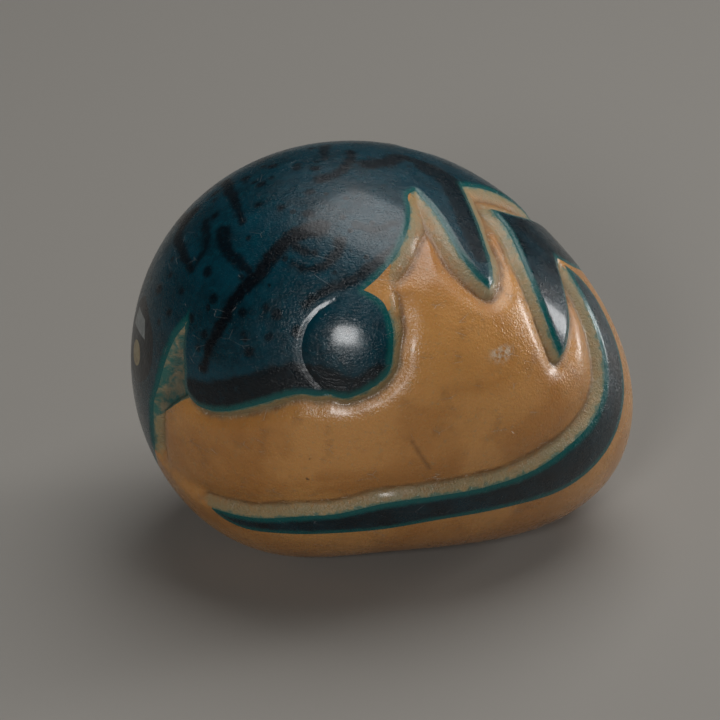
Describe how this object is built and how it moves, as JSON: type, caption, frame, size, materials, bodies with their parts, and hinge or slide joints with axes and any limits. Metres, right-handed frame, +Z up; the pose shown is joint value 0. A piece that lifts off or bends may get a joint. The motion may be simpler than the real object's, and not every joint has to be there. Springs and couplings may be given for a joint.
{
  "type": "carved palm nut animal figure",
  "caption": "Palm-sized solid palm nut carved in low relief as a curled animal: teal dyed head, back, rump leaf and curling tail on bare honey-tan ground, standing on a small sanded flat.",
  "frame": {"origin": "centre of the bounding box on the surface the nut stands on", "axes": "+Z up, the animal faces -X, its left side faces -Y"},
  "size_m": [0.0549, 0.0448, 0.0429],
  "materials": {
    "bare_nut": "honey-tan palm nut, polished and waxed, with brown in its creases",
    "teal_dye": "nut dyed deep teal with black brush spots, under a scratched gloss wax",
    "thin_wash": "thin teal wash over bare nut, knife-cut and waxed",
    "eye_ink": "blue-black dye under gloss wax",
    "eye_white": "pale grey paint stroke under gloss wax"
  },
  "bodies": {
    "root": {"nut_body": "bare_nut", "head": "teal_dye", "back": "teal_dye", "side_knob_left": "teal_dye", "side_knob_right": "teal_dye", "rump_leaf": "teal_dye", "tail": "teal_dye", "cheek_groove_left": "thin_wash", "cheek_groove_right": "thin_wash", "eye_left": "eye_ink", "eye_right": "eye_ink", "eye_white_left": "eye_white", "eye_white_right": "eye_white", "pupil_left": "bare_nut", "pupil_right": "bare_nut"}
  },
  "joints": []
}
